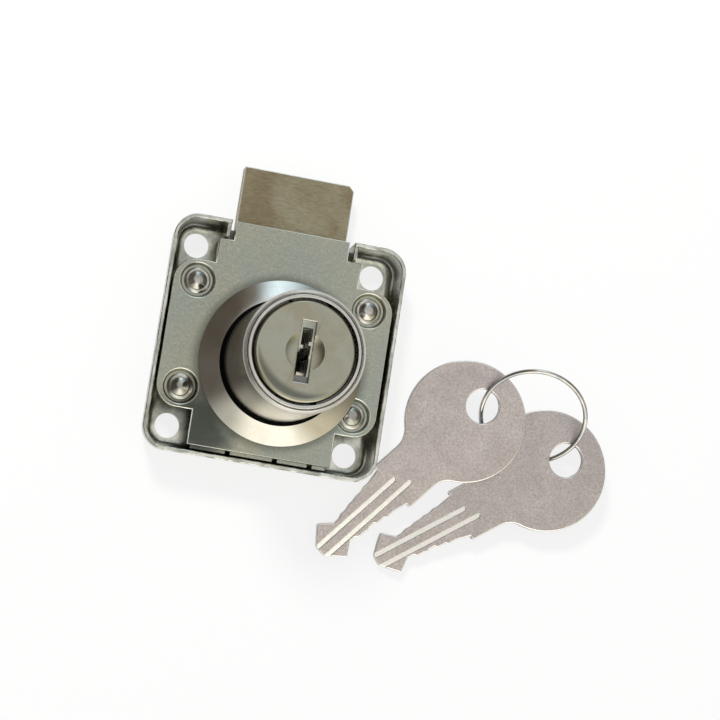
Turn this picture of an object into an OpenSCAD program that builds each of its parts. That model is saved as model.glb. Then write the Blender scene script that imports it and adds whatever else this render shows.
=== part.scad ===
// Surface-mounted drawer lock: a pressed square case, a round barrel with a wafer plug, a sliding bolt,
// a loose trim ring, and two flat keys on a wire ring that lie beside it.
// The origin is on the barrel's axis, in the plane of the case's back.
// +Z runs out along the barrel and +Y is the way the bolt comes out.

/* [Case] */
// Width of the case across its rim
case_w = 40; // [38:0.5:46]
// Height of the case across its rim
case_h = 40; // [40:0.5:46]
// Depth of the case from its back to its rim
case_depth = 6.5; // [6.4:0.1:9]
// Thickness of the case's sheet
case_sheet = 0.7; // [0.5:0.05:0.8]
// Radius of the case's corners at the rim
case_corner_r = 4.2; // [3.6:0.1:6]
// Radius where the wall turns into the back
case_edge_r = 2.2; // [1.4:0.1:2.4]
// Lean of the case's walls
case_draft = 4; // [1:0.5:5]
// Barrel's axis to the right of the case's middle
barrel_off_x = 1.25; // [-2:0.05:2]
// Barrel's axis above the case's middle
barrel_off_y = -2.4; // [-3:0.05:0]
// Screw holes, spacing across the case
screw_dx = 30.6; // [29:0.1:31]
// Screw holes, spacing along the bolt
screw_dy = 30.8; // [30:0.1:31]
// Screw hole diameter
screw_d = 4.2; // [3:0.1:4.4]
// Width of the gap in the wall for the bolt
notch_w = 21.2; // [20.4:0.1:22]
// Length of the cheeks beside the gap
cheek_len = 3; // [2.9:0.1:3.4]

/* [Cover] */
// Thickness of the cover's sheet
cover_sheet = 0.7; // [0.5:0.05:0.9]
// Depth of the cover below the rim
cover_drop = 0.8; // [0.5:0.05:1.2]
// Gap between the cover and the case's walls
cover_gap = 0.4; // [0.25:0.05:0.8]
// Width of the cover's middle band
cover_band_w = 24.4; // [24:0.1:25]
// Width of the tab over the bolt
cover_tab_w = 19.6; // [17:0.1:20]
// Margin of cover around each rivet, along the bolt
cover_lobe = 3.5; // [3.2:0.1:4]
// Radius of the cover's outer corners
cover_lobe_r = 3.8; // [2:0.1:4]
// Drop of the lip along the cover's lower edge
lip_drop = 0.6; // [0.4:0.05:0.65]
// Length of the lip past the cover's lower edge
lip_len = 0.55; // [0.3:0.05:0.6]
// Width of the slots in the lip
lip_slot_w = 0.9; // [0.4:0.1:1.5]

/* [Rivets] */
// Rivets, spacing across the case
rivet_dx = 29.5; // [29:0.1:30]
// Rivets, spacing along the bolt
rivet_dy = 18; // [16:0.5:19]
// Rivet shank diameter
rivet_d = 2.5; // [2:0.1:2.8]
// Rivet spacer diameter
spacer_d = 4.2; // [3.6:0.1:4.4]
// Rivet dome diameter
dome_d = 4.6; // [4:0.1:5]
// Rivet dome height
dome_h = 0.75; // [0.5:0.05:0.8]
// Dimple diameter at the cover's face
dimple_d = 5.9; // [5.4:0.1:6.2]
// Dimple depth
dimple_depth = 0.8; // [0.5:0.05:0.9]

/* [Bolt] */
// Width of the bolt
bolt_w = 19; // [16:0.1:20]
// Thickness of the bolt
bolt_t = 2.6; // [2:0.1:2.65]
// Reach of the bolt past the case when locked
bolt_out = 9.9; // [9.8:0.1:12]
// Width of the bolt's shoulders
shoulder_w = 24; // [22.8:0.1:24.4]
// Width of metal behind the drive slot
bolt_tail = 3; // [2:0.1:4]
// Chamfer on the bolt's right corner
bolt_chamfer = 0.9; // [0.3:0.1:1.5]
// Radius of the drive pin's circle
crank_r = 4.9; // [4:0.05:5.2]
// Diameter of the drive pin
pin_d = 2.4; // [1.8:0.1:2.8]

/* [Barrel] */
// Diameter of the barrel
barrel_d = 20; // [19.6:0.1:21]
// Length of the barrel from the cover
barrel_len = 22; // [20:0.5:34]
// Diameter of the barrel's spigot through the cover
spigot_d = 17; // [16:0.1:18]
// Diameter of the staked edge under the cover
stake_d = 18.4; // [18.1:0.1:19]
// Height of the staked edge
stake_h = 0.65; // [0.4:0.05:0.7]
// Chamfer round the barrel's front
barrel_chamfer = 0.45; // [0.2:0.05:0.6]
// Depth of the turned groove in the barrel's front
turned_groove = 0.18; // [0.1:0.02:0.3]
// Depth of the turned relief at the barrel's foot
foot_relief = 0.2; // [0.1:0.02:0.3]
// Height of the relief above the trim ring
foot_above_trim = 1.2; // [0.8:0.1:2]
// Radial depth of the wafer grooves
wafer_groove = 1.3; // [1.1:0.1:1.6]

/* [Trim ring] */
// Outer diameter of the trim ring
trim_d = 27.8; // [26:0.1:29]
// Gap between the trim ring and the barrel
trim_gap = 0.6; // [0.3:0.05:0.8]
// Height of the trim ring
trim_h = 1.5; // [1:0.1:2.5]
// Height of the trim ring's upright edge
trim_edge_h = 0.3; // [0.2:0.05:0.5]
// Thickness of the trim ring's sheet
trim_sheet = 0.5; // [0.3:0.05:0.7]
// Radius of the trim ring's crown
trim_crown_r = 5; // [3.5:0.1:9]

/* [Plug] */
// Diameter of the plug
plug_d = 13.4; // [13.2:0.1:14]
// Diameter of the plug's face
face_d = 16.7; // [16:0.1:17]
// Depth of the recess for the plug's head
head_depth = 2.4; // [2:0.1:3]
// Thickness of the cap over the plug's head
cap_sheet = 0.5; // [0.3:0.05:0.6]
// Depth of the cap below the barrel's front
cap_sink = 0.1; // [0:0.05:0.4]
// Rounding of the cap's edge
cap_edge_r = 0.8; // [0.6:0.05:1]
// Length of the key slot in the cap
cap_slot_h = 10; // [9:0.1:11]
// Width of the key slot in the cap
cap_slot_w = 2.3; // [1.9:0.1:2.6]
// Diameter of the dished middle of the cap
dish_d = 6.4; // [5:0.1:7]
// Depth of the dished middle of the cap
dish_depth = 0.3; // [0.1:0.05:0.4]
// Thickness of the retaining clip
clip_t = 0.4; // [0.3:0.05:0.45]
// Reach of the retaining clip past the plug
clip_reach = 1.1; // [0.6:0.1:1.3]
// Depth of the clip's groove
clip_groove = 0.6; // [0.4:0.05:0.8]
// Length of the plug past its clip
plug_lip = 0.4; // [0.3:0.05:0.5]

/* [Wafers] */
// Number of wafers
wafer_n = 5; // [5]
// Depth of the first wafer behind the cap's face
wafer_first = 3; // [2.95:0.05:3.2]
// Spacing of the wafers
wafer_pitch = 1.95; // [1.8:0.05:2]
// Thickness of a wafer
wafer_t = 1; // [0.6:0.05:1.05]
// Width of a wafer
wafer_w = 6.8; // [6:0.1:7]
// Travel of a wafer past the plug
wafer_travel = 0.9; // [0.6:0.1:1]
// Coil diameter of a wafer spring
spring_d = 1.2; // [1:0.05:1.25]
// Wire diameter of a wafer spring
spring_wire = 0.22; // [0.15:0.01:0.26]

/* [Keys] */
// Thickness of a key
key_t = 1.5; // [1.2:0.05:1.6]
// Diameter of a key's bow
bow_d = 20.8; // [19:0.1:21]
// Hole for the ring in a key's bow
bow_hole_d = 5.8; // [5.6:0.1:6.4]
// Distance from the ring hole to the bow's middle
bow_off = 3.9; // [3:0.1:4.5]
// Width of a key's neck
neck_w = 9.2; // [8.6:0.1:9.4]
// Radius between the bow and the neck
neck_fillet = 4; // [2:0.1:6]
// Distance from the ring hole to the key's shoulder
shoulder_x = 20.7; // [20:0.1:20.8]
// Length of a key's blade
blade_len = 16.3; // [15.6:0.1:16.4]
// Width of a key's blade
blade_w = 7.6; // [7:0.1:7.8]
// Distance from a key's tip back to the widest part of its blade
blade_flare = 2.8; // [2.4:0.1:3.2]
// Width of a key's blunt tip
tip_w = 2; // [1.4:0.1:2.6]
// Height of the peaks between the cuts on a blade's left edge
bit_peak = 0.2; // [0:0.05:0.3]
// Width of the grooves along a blade
blade_groove_w = 0.8; // [0.6:0.05:0.9]
// Depth of the grooves along a blade
blade_groove_depth = 0.35; // [0.2:0.05:0.45]
// Distance of a face's near groove from the blade's middle
groove_near = 0.75; // [0.6:0.05:0.9]
// Distance of a face's far groove from the blade's middle
groove_far = 1.4; // [1.2:0.05:1.6]
// Diameter of the key ring's wire
ring_wire = 0.8; // [0.6:0.05:0.85]
// Diameter of the key ring, at the middle of its wire
ring_d = 17.8; // [17.75:0.05:17.85]

/* [Hidden] */
$fn = 96;
// Clearances
slide_gap = 0.1;
run_gap = 0.05;
stop_gap = 0.3;
key_gap = 0.1;
seat_gap = 0.03;
eps = 0.01;

// Levels of the stack, from the back to the barrel's front
floor_top = case_sheet;
bolt_z0 = floor_top + slide_gap;
cover_top = case_depth - cover_drop;
cover_under = cover_top - cover_sheet;
barrel_rear = cover_under - stake_h;
clip_top = barrel_rear - run_gap;
clip_z0 = clip_top - clip_t;
plug_rear = clip_z0 - plug_lip;
pin_end = floor_top + stop_gap;
barrel_front = cover_top + barrel_len;
cap_front = barrel_front - cap_sink;
plug_front = cap_front - cap_sheet;
head_seat = barrel_front - head_depth;

// Case
case_mid = [-barrel_off_x, -barrel_off_y];
edge_in = (case_edge_r + (case_depth - case_edge_r) * sin(case_draft)) / cos(case_draft);
rim_to_cover = cover_drop * tan(case_draft) + case_sheet / cos(case_draft);
cheek_y = case_h / 2 - cheek_len;
screw_places = [for (x = [-1, 1], y = [-1, 1]) [x * screw_dx / 2, y * screw_dy / 2]];
rivet_places = [for (x = [-1, 1], y = [-1, 1]) [x * rivet_dx / 2, y * rivet_dy / 2]];

// Cover outline, about the case's middle
cover_side = case_w / 2 - rim_to_cover - cover_gap;
cover_low = -case_h / 2 + rim_to_cover + cover_gap + lip_len;
cover_ear = cheek_y - stop_gap;
lip_slots = [-0.45, 0.25, 0.77];

// Rivets
dimple_floor = cover_top - dimple_depth;
spacer_top = cover_under - dimple_depth;
tail_flare = 0.6;
tail_h = 0.5;

// Bolt: it travels the full width of the pin's circle, and its slot also takes up the difference between
// the pin's circular path and the bolt's even travel
bolt_travel = 2 * crank_r;
uneven_share = 0.2105;
yoke_half = pin_d / 2 + uneven_share * crank_r + slide_gap;
yoke_end = crank_r + pin_d / 2 + stop_gap - yoke_half;
bolt_tip = case_h / 2 + bolt_out;
pin_rest_y = barrel_off_y + crank_r;

// Barrel and plug
barrel_r = barrel_d / 2;
bore_r = plug_d / 2 + run_gap;
face_gap = 0.3;
face_r = face_d / 2;
head_r = face_r - cap_sheet - seat_gap;
turned_w = 0.35;
foot_r = barrel_r - foot_relief;
foot_top = cover_top + trim_h + foot_above_trim;

// Trim ring: the crown's arc runs from the upright edge to the inner lip
trim_r = trim_d / 2;
trim_bore_r = barrel_r + trim_gap;
crown_a = [trim_r, cover_top + trim_edge_h];
crown_b = [trim_bore_r + trim_sheet, cover_top + trim_h];
crown_mid = (crown_a + crown_b) / 2;
crown_half = norm(crown_b - crown_a) / 2;
crown_dir = (crown_b - crown_a) / (2 * crown_half);
crown_centre = crown_mid + [-crown_dir[1], crown_dir[0]] * sqrt(trim_crown_r ^ 2 - crown_half ^ 2);

// Wafers, springs and keyway
keyway_w = key_t + 2 * key_gap;
keyway_h = blade_w + 2 * key_gap;
keyway_end = cap_front - blade_len - stop_gap;
wafer_r = plug_d / 2 - run_gap;
wafer_slot = wafer_t + slide_gap;
lug_w = 1.5;
lug_half = 0.5;
spring_x = wafer_w / 2 + lug_w / 2;
spring_far = -3.65;
spring_turns = 5;
cuts_left = [0.55, 0.85, 1.3, 1.2, 1.7];
cuts_right = [0.6, 0.9, 1.15, 1.45, 1.8];

// Grooves on one face of a key: place across the blade, and reach past the shoulder into the neck.
// The other face has the same grooves turned half a turn about the blade
face_grooves = [[-groove_near, 1], [groove_far, 2.7]];

// Keys and ring where they lie on the table, beside the case's lower right corner
tip_x = shoulder_x + blade_len;
key_spot = [case_w / 2, -case_h / 2, 0];
key_a_across = 16.85;
key_a_along = 16.6;
key_b_across = 33.1;
key_b_along = 10.1;
key_a_hole = key_spot + [key_a_across, key_a_along, 0];
key_b_hole = key_spot + [key_b_across, key_b_along, 0];
key_a_heading = 230.9;
key_b_heading = 216.6;
key_a_tilt = 6.41;
key_b_tilt = 3.93;
table_gap = 0.02;
ring_across = 25.65;
ring_along = 16.22;
ring_height = 5.885;
ring_centre = key_spot + [ring_across, ring_along, ring_height];
ring_heading = -13.9;
ring_tilt = 38;
ring_gap_deg = 4;

function wafer_z(i) = cap_front - wafer_first - i * wafer_pitch;

module at_case_mid(z = 0) {
  translate([case_mid[0], case_mid[1], z]) children();
}

module at_each(places) {
  for (p = places) translate([p[0], p[1], 0]) children();
}

module rounded_rect(x0, x1, y0, y1, r) {
  translate([x0 + r, y0]) square([x1 - x0 - 2 * r, y1 - y0]);
  translate([x0, y0 + r]) square([x1 - x0, y1 - y0 - 2 * r]);
  for (x = [x0 + r, x1 - r], y = [y0 + r, y1 - r]) translate([x, y]) circle(r);
}

// Section of the case's wall: x is measured outwards from the rim's outer edge
module wall_section() {
  bend = [-edge_in, case_edge_r];
  out = [cos(case_draft), -sin(case_draft)];
  foot = bend + case_edge_r * out;
  reach = 2 * case_edge_r;
  translate(bend) intersection() {
    difference() {
      circle(case_edge_r);
      circle(case_edge_r - case_sheet);
    }
    polygon([[0, 0], [0, -reach], [reach, -reach], reach * out]);
  }
  polygon([foot, [0, case_depth], [-case_sheet / cos(case_draft), case_depth], foot - case_sheet * out]);
}

module wall_side(length) {
  rotate([90, 0, 0]) translate([0, 0, -length / 2]) linear_extrude(length) wall_section();
}

module tray_shell() {
  straight_x = case_w - 2 * case_corner_r;
  straight_y = case_h - 2 * case_corner_r;
  for (s = [0, 180]) rotate([0, 0, s]) {
    translate([case_w / 2, 0, 0]) wall_side(straight_y);
    rotate([0, 0, 90]) translate([case_h / 2, 0, 0]) wall_side(straight_x);
    translate([straight_x / 2, straight_y / 2, 0]) tray_corner(0);
    translate([-straight_x / 2, straight_y / 2, 0]) tray_corner(90);
  }
  linear_extrude(case_sheet) rounded_rect(-case_w / 2 + edge_in, case_w / 2 - edge_in,
    -case_h / 2 + edge_in, case_h / 2 - edge_in, case_corner_r - edge_in);
}

module tray_corner(turn) {
  rotate([0, 0, turn]) rotate_extrude(angle = 90) translate([case_corner_r, 0]) wall_section();
}

module case_tray() {
  color("#9c9b8c") at_case_mid() difference() {
    union() {
      difference() {
        tray_shell();
        translate([-notch_w / 2, cheek_y, floor_top]) cube([notch_w, 2 * cheek_len, case_depth]);
      }
      for (s = [-1, 1]) translate([s * (notch_w + case_sheet) / 2, 0, 0]) cheek();
    }
    at_each(screw_places) translate([0, 0, -eps]) cylinder(d = screw_d, h = case_sheet + 2 * eps);
    at_each(rivet_places) rivet_hole();
  }
}

// Upright cheek that guides the bolt, at one end of the gap in the wall; its outline follows the wall
module cheek() {
  half = case_sheet / 2;
  mid_r = case_edge_r - half;
  top = case_depth - cover_drop / 2;
  bend = [-edge_in, case_edge_r];
  translate([half, case_h / 2, 0]) rotate([90, 0, -90]) mirror([1, 0, 0]) linear_extrude(case_sheet)
    polygon([[-cheek_len, half], [-edge_in, half], bend + mid_r * [sin(45), -cos(45)],
      bend + mid_r * [cos(case_draft), -sin(case_draft)], [-half - (case_depth - top) * tan(case_draft), top],
      [-cheek_len, top]]);
}

module rivet_hole() {
  hole_r = rivet_d / 2 + run_gap;
  translate([0, 0, -eps]) cylinder(r = hole_r, h = case_sheet + 2 * eps);
  translate([0, 0, -eps]) cylinder(r1 = hole_r + tail_flare, r2 = hole_r, h = tail_h);
}

module cover_outline() {
  half = cover_band_w / 2;
  translate([-half, cover_low]) square([cover_band_w, cover_ear - cover_low]);
  translate([-cover_tab_w / 2, 0]) square([cover_tab_w, case_h / 2]);
  rounded_rect(-cover_side, cover_side, -rivet_dy / 2 - cover_lobe, rivet_dy / 2 + cover_lobe, cover_lobe_r);
}

module cover_lip() {
  lip_w = cover_band_w - 2 * cover_sheet;
  back = 2 * cover_sheet;
  lip_y = cover_low - lip_len;
  difference() {
    translate([-lip_w / 2, lip_y, cover_under - lip_drop]) cube([lip_w, lip_len + back, cover_sheet]);
    for (x = lip_slots) translate([x * lip_w / 2 - lip_slot_w / 2, lip_y - eps, 0])
      cube([lip_slot_w, lip_len, case_depth]);
  }
}

module cover_plate() {
  color("#a3a294") difference() {
    at_case_mid() difference() {
      union() {
        translate([0, 0, cover_under]) linear_extrude(cover_sheet) cover_outline();
        cover_lip();
        at_each(rivet_places) translate([0, 0, spacer_top])
          cylinder(d = dimple_d, h = dimple_depth + cover_sheet / 2);
      }
      at_each(rivet_places) translate([0, 0, dimple_floor])
        cylinder(d1 = dimple_d - cover_sheet, d2 = dimple_d, h = dimple_depth + eps);
      at_each(rivet_places) cylinder(r = rivet_d / 2 + run_gap, h = case_depth);
    }
    cylinder(r = spigot_d / 2 + run_gap, h = case_depth);
  }
}

module rivet() {
  tail_r = rivet_d / 2 - seat_gap;
  dome_r = (dome_d ^ 2 / 4 + dome_h ^ 2) / (2 * dome_h);
  cylinder(r = rivet_d / 2, h = dimple_floor + eps);
  cylinder(r1 = tail_r + tail_flare, r2 = tail_r, h = tail_h);
  translate([0, 0, floor_top]) cylinder(d = spacer_d, h = spacer_top - floor_top);
  translate([0, 0, dimple_floor]) intersection() {
    translate([0, 0, dome_h - dome_r]) sphere(dome_r);
    cylinder(d = dome_d + 1, h = dome_h + 1);
  }
}

module case_rivets() {
  color("#c9c7bd") at_case_mid() at_each(rivet_places) rivet();
}

module bolt_outline() {
  half = bolt_w / 2;
  tail_y = pin_rest_y - yoke_half - bolt_tail;
  shoulder = shoulder_w / 2;
  polygon([[-shoulder, tail_y], [-shoulder, cover_ear], [-half, cover_ear], [-half, bolt_tip],
    [half - bolt_chamfer, bolt_tip], [half, bolt_tip - bolt_chamfer], [half, cover_ear],
    [shoulder, cover_ear], [shoulder, tail_y]]);
}

module drive_slot() {
  translate([barrel_off_x, pin_rest_y]) {
    square([2 * yoke_end, 2 * yoke_half], center = true);
    for (s = [-1, 1]) translate([s * yoke_end, 0]) circle(yoke_half);
  }
}

module bolt() {
  color("#8d8468") at_case_mid(bolt_z0) linear_extrude(bolt_t) difference() {
    bolt_outline();
    drive_slot();
  }
}

// Half section of the barrel, from its staked edge to its front
module barrel_section() {
  recess_r = face_r + face_gap;
  difference() {
    polygon([[bore_r, barrel_rear], [stake_d / 2, barrel_rear], [stake_d / 2, cover_under],
      [spigot_d / 2, cover_under], [spigot_d / 2, cover_top], [foot_r, cover_top], [foot_r, foot_top],
      [barrel_r, foot_top], [barrel_r, barrel_front - barrel_chamfer],
      [barrel_r - barrel_chamfer, barrel_front],
      [recess_r, barrel_front], [recess_r, head_seat], [bore_r, head_seat]]);
    translate([barrel_r - barrel_chamfer - turned_w, barrel_front - turned_groove]) square([turned_w / 2, 1]);
  }
}

module barrel() {
  groove_w = wafer_w + 2 * slide_gap;
  groove_z = wafer_z(wafer_n - 1) - wafer_t;
  groove_r = bore_r + wafer_groove;
  color("#b9b7ab") difference() {
    rotate_extrude() barrel_section();
    translate([-groove_w / 2, -groove_r, groove_z])
      cube([groove_w, 2 * groove_r, head_seat - groove_z + eps]);
  }
}

module trim_ring() {
  color("#c7bda6") rotate_extrude() intersection() {
    translate(crown_centre) difference() {
      circle(trim_crown_r);
      circle(trim_crown_r - trim_sheet);
    }
    translate([trim_bore_r, cover_top]) square([trim_r - trim_bore_r, 2 * trim_h]);
  }
}

// The keyway's section, with a rib for each groove of the key
module keyway_outline() {
  rib_h = blade_groove_w - 2 * key_gap;
  rib_w = blade_groove_depth + key_gap / 2;
  difference() {
    square([keyway_w, keyway_h], center = true);
    for (turn = [0, 180], g = face_grooves) rotate(turn)
      translate([keyway_w / 2 - rib_w, g[0] - rib_h / 2]) square([rib_w + eps, rib_h]);
  }
}

// Room in the plug for one wafer, its side lug and its spring
module wafer_pocket() {
  lug_x = wafer_w / 2;
  translate([-lug_x - slide_gap, -plug_d, -wafer_slot / 2])
    cube([wafer_w + 2 * slide_gap, 2 * plug_d, wafer_slot]);
  translate([0, -lug_half - slide_gap, -wafer_slot / 2])
    cube([lug_x + lug_w + slide_gap, 2 * lug_half + wafer_travel + 2 * slide_gap, wafer_slot]);
  translate([spring_x, spring_far - run_gap, 0]) rotate([-90, 0, 0])
    cylinder(d = spring_d + 2 * slide_gap, h = -lug_half - spring_far);
}

module plug() {
  color("#a9a08a") difference() {
    union() {
      translate([0, 0, plug_rear]) cylinder(d = plug_d, h = plug_front - plug_rear);
      translate([0, 0, head_seat + run_gap]) cylinder(r = head_r, h = plug_front - head_seat - run_gap);
      translate([0, crank_r, pin_end]) cylinder(d = pin_d, h = plug_rear - pin_end + 1);
    }
    translate([0, 0, keyway_end]) linear_extrude(barrel_len) keyway_outline();
    translate([0, 0, clip_z0 - seat_gap]) difference() {
      cylinder(d = plug_d + 1, h = clip_t + 2 * seat_gap);
      cylinder(r = plug_d / 2 - clip_groove, h = clip_t + 2 * seat_gap);
    }
    for (i = [0:wafer_n - 1]) translate([0, 0, wafer_z(i)]) wafer_pocket();
  }
}

module cap_section() {
  skirt_z = head_seat + 2 * run_gap;
  difference() {
    union() {
      translate([0, skirt_z]) square([face_r, cap_front - cap_edge_r - skirt_z]);
      translate([0, skirt_z]) square([face_r - cap_edge_r, cap_front - skirt_z]);
      translate([face_r - cap_edge_r, cap_front - cap_edge_r]) circle(cap_edge_r);
    }
    translate([-1, skirt_z - 1]) square([face_r - cap_sheet + 1, plug_front - skirt_z + 1]);
    translate([-face_d, 0]) square([face_d, 2 * barrel_front]);
  }
}

module plug_cap() {
  dish_r = (dish_d ^ 2 / 4 + dish_depth ^ 2) / (2 * dish_depth);
  color("#a8a698") difference() {
    rotate_extrude() cap_section();
    translate([0, 0, cap_front + dish_r - dish_depth]) sphere(dish_r);
    translate([-cap_slot_w / 2, -cap_slot_h / 2, plug_front - cap_sheet])
      cube([cap_slot_w, cap_slot_h, 3 * cap_sheet]);
  }
}

module plug_clip() {
  inner_r = plug_d / 2 - clip_groove + seat_gap;
  outer_r = plug_d / 2 + clip_reach;
  mouth = 1.2 * inner_r;
  color("#6f6d66") translate([0, 0, clip_z0]) linear_extrude(clip_t) difference() {
    circle(outer_r);
    circle(inner_r);
    translate([0, -mouth / 2]) square([2 * outer_r, mouth]);
  }
}

module wafer(i) {
  low = -blade_w / 2 + cuts_right[i] - key_gap / 2;
  high = blade_w / 2 + stop_gap;
  window_w = keyway_w + key_gap;
  color("#c2a75a") translate([0, 0, wafer_z(i) - wafer_t / 2]) linear_extrude(wafer_t) difference() {
    union() {
      intersection() {
        circle(wafer_r);
        square([wafer_w, plug_d + 1], center = true);
      }
      translate([0, -lug_half]) square([wafer_w / 2 + lug_w - slide_gap, 2 * lug_half]);
    }
    translate([-window_w / 2, low]) square([window_w, high - low]);
  }
}

// Coil spring along +Y, swept round its own axis
module coil(length, coil_r, wire_r, turns) {
  per_turn = 12;
  sides = 6;
  rings = turns * per_turn;
  points = [for (k = [0:rings], j = [0:sides - 1])
    let(a = 360 * k / per_turn, b = 360 * j / sides, r = coil_r + wire_r * cos(b))
    [r * cos(a), length * k / rings + wire_r * sin(b), r * sin(a)]];
  walls = [for (k = [0:rings - 1], j = [0:sides - 1])
    let(n = (j + 1) % sides, q = k * sides)
    [q + j, q + n, q + sides + n, q + sides + j]];
  start = [for (j = [sides - 1:-1:0]) j];
  end = [for (j = [0:sides - 1]) rings * sides + j];
  polyhedron(points, concat(walls, [start, end]));
}

module wafer_spring(i) {
  wire_r = spring_wire / 2;
  room = -lug_half - spring_far - 2 * wire_r - 2 * seat_gap;
  color("#8f8f8f") translate([spring_x, spring_far + wire_r + seat_gap, wafer_z(i)])
    coil(room, spring_d / 2 - wire_r, wire_r, spring_turns);
}

// Key blank before its cuts: the ring hole is at the origin and the tip points along +X.
// The fillet's circle runs a little into the bow, so that the two meet at a clean corner
module key_body() {
  bow_r = bow_d / 2;
  run_in = 0.04;
  corner_y = neck_w / 2 + neck_fillet;
  corner_x = sqrt((bow_r + neck_fillet - run_in) ^ 2 - corner_y ^ 2);
  inside = 0.5;
  translate([bow_off, 0, 0]) cylinder(r = bow_r, h = key_t);
  translate([bow_off, 0, 0]) linear_extrude(key_t) difference() {
    polygon([inside * [corner_x, -corner_y], [corner_x, -corner_y], [corner_x, corner_y],
      inside * [corner_x, corner_y]]);
    for (s = [-1, 1]) translate([corner_x, s * corner_y]) circle(neck_fillet);
  }
  translate([bow_off, -neck_w / 2, 0]) cube([shoulder_x - bow_off, neck_w, key_t]);
  linear_extrude(key_t) blade_outline();
}

// Points along one edge of the blade, from the shoulder to the tip: a flat at each wafer and ramps between
function blade_edge(cuts, peak) = let(half = blade_w / 2, flat = wafer_t / 2, last = wafer_n - 1) concat(
  [[shoulder_x - 1, half], [shoulder_x, half]],
  [for (i = [0:last])
    let(x = shoulder_x + wafer_first + i * wafer_pitch, y = half - cuts[i])
    let(next = half - cuts[min(i + 1, last)])
    each concat([[x - flat, y], [x + flat, y]],
      i < last ? [[x + wafer_pitch / 2, (y + next) / 2 + peak]] : [])],
  [[tip_x - blade_flare, half], [tip_x, tip_w / 2]]);

module blade_outline() {
  left = blade_edge(cuts_left, bit_peak);
  right = blade_edge(cuts_right, 0);
  polygon(concat(left, [for (i = [len(right) - 1:-1:0]) [right[i][0], -right[i][1]]]));
}

module blade_groove(y, lead) {
  start = shoulder_x - lead;
  translate([start, y - blade_groove_w / 2, key_t - blade_groove_depth])
    cube([tip_x - start + 1, blade_groove_w, blade_groove_depth + eps]);
  translate([start, y, key_t - blade_groove_depth])
    cylinder(d = blade_groove_w - 2 * eps, h = blade_groove_depth + eps);
}

module key_blank() {
  difference() {
    key_body();
    translate([0, 0, -eps]) cylinder(d = bow_hole_d, h = key_t + 2 * eps);
    for (turn = [0, 1], g = face_grooves) translate([0, 0, turn * key_t]) rotate([180 * turn, 0, 0])
      blade_groove(g[0], g[1]);
  }
}

// A key on the table, held up at its bow so that its tip just clears the table
module key_at(hole, heading, tilt) {
  lift = tip_x * sin(tilt) + table_gap;
  at_case_mid() translate([hole[0], hole[1], lift]) rotate([0, 0, heading]) rotate([0, tilt, 0]) key_blank();
}

module key_a() {
  color("#a79f9c") key_at(key_a_hole, key_a_heading, key_a_tilt);
}

module key_b() {
  color("#aaa29f") key_at(key_b_hole, key_b_heading, key_b_tilt);
}

module key_ring() {
  color("#b5b5b5") at_case_mid() translate(ring_centre) rotate([0, 0, ring_heading]) rotate([ring_tilt, 0, 0])
    rotate([0, 0, 270 + ring_gap_deg / 2]) rotate_extrude(angle = 360 - ring_gap_deg)
      translate([ring_d / 2, 0]) circle(d = ring_wire);
}

case_tray();
cover_plate();
case_rivets();
bolt();
barrel();
trim_ring();
plug();
plug_cap();
plug_clip();
for (i = [0:wafer_n - 1]) wafer(i);
for (i = [0:wafer_n - 1]) wafer_spring(i);
key_a();
key_b();
key_ring();
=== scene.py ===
"""Dresses the furniture lock: plated case, riveted cover, keyed barrel, bolt, trim ring and keys."""
import math

import bmesh
import bpy
from mathutils import Matrix, Vector


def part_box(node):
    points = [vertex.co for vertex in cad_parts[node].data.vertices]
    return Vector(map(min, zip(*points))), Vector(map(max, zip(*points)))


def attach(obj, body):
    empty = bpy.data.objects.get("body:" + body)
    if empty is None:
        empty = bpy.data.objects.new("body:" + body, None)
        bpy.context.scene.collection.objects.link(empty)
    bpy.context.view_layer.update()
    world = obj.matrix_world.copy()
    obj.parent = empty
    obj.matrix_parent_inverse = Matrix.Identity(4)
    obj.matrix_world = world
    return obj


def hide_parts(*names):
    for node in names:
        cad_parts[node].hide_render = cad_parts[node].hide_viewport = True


bl_info = {
    "name": "Furniture lock",
    "version": (1, 0, 0),
    "blender": (4, 5, 0),
    "location": "View3D > Sidebar > Lock",
    "description": "Finishes and stages a surface-mounted drawer lock with its keys",
    "category": "Object",
}

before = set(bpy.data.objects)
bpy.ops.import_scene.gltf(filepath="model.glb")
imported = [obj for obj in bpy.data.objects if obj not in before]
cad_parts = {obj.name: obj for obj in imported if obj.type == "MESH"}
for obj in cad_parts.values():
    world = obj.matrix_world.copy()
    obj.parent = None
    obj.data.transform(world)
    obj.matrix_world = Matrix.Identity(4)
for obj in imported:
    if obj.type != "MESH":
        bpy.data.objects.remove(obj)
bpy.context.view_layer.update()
MM = 0.001
WAFERS = [f"wafer_{i}" for i in range(1, 6)]
SPRINGS = [f"wafer_spring_{i}" for i in range(1, 6)]
# Points closer than this are one point
WELD = 0.0005 * MM


def linear(code):
    """Scene-linear colour of a hex code."""
    parts = [int(code[i:i + 2], 16) / 255 for i in (1, 3, 5)]
    return tuple(c / 12.92 if c <= 0.04045 else ((c + 0.055) / 1.055) ** 2.4 for c in parts)


def colour_prop(name, description, code):
    """A colour setting with a hex code as its default."""
    return bpy.props.FloatVectorProperty(name=name, description=description, subtype="COLOR", size=3,
                                         min=0.0, max=1.0, default=linear(code))


def length_prop(name, description, millimetres):
    """A length setting with a default in millimetres."""
    return bpy.props.FloatProperty(name=name, description=description, unit="LENGTH", min=0.0, precision=5,
                                   default=millimetres * MM)


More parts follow.
